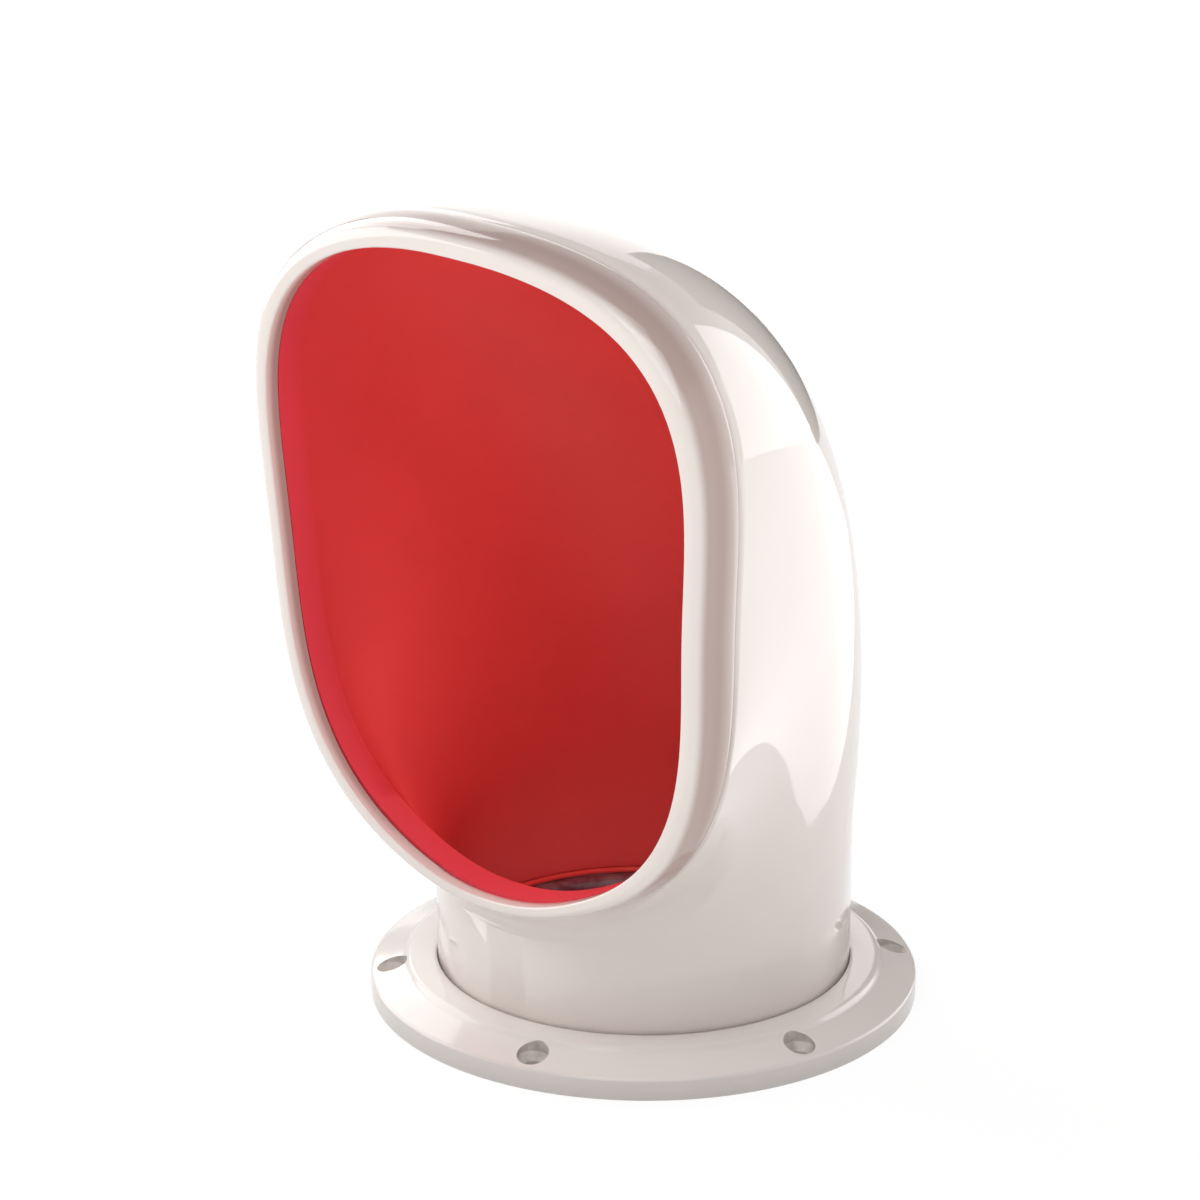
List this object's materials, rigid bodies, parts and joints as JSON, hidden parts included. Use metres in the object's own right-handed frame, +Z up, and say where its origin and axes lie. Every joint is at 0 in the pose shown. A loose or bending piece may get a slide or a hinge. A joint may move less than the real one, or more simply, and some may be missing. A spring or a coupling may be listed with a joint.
{
  "type": "cowl vent",
  "caption": "Soft white cowl ventilator with a red-lined scoop mouth, which turns and lifts on a domed deck ring with countersunk screw holes and an insect screen.",
  "frame": {"origin": "on the ring's axis, in the plane of the deck that the ring's underside rests on", "axes": "+Z up along the turning axis, -Y out of the cowl's mouth as pictured, X across the mouth"},
  "size_m": [0.1572, 0.15, 0.2216],
  "materials": {
    "white_plastic": "glossy white moulded plastic",
    "white_silicone": "very glossy white silicone",
    "red_silicone": "satin red silicone lining",
    "natural_nylon": "natural nylon",
    "black_rubber": "matt black rubber",
    "steel_gauze": "fine woven stainless gauze"
  },
  "bodies": {
    "deck_ring": {"deck_flange": "white_plastic", "deck_gasket": "black_rubber", "neck_seal": "black_rubber", "screen_frame": "white_plastic", "screen_clip": "white_plastic", "screen_gauze": "steel_gauze"},
    "turning_ring": {"glide_ring": "natural_nylon"},
    "cowl": {"cowl_shell": "white_silicone", "cowl_liner": "red_silicone", "neck_sleeve": "natural_nylon"}
  },
  "joints": [
    {"name": "cowl_turn", "type": "hinge", "parent": "deck_ring", "child": "turning_ring", "pos_m": [0, 0, 0.0043], "axis": [0, 0, 1], "continuous": true},
    {"name": "cowl_lift", "type": "slide", "parent": "turning_ring", "child": "cowl", "axis": [0, 0, 1], "range_m": [0, 0.015]}
  ]
}
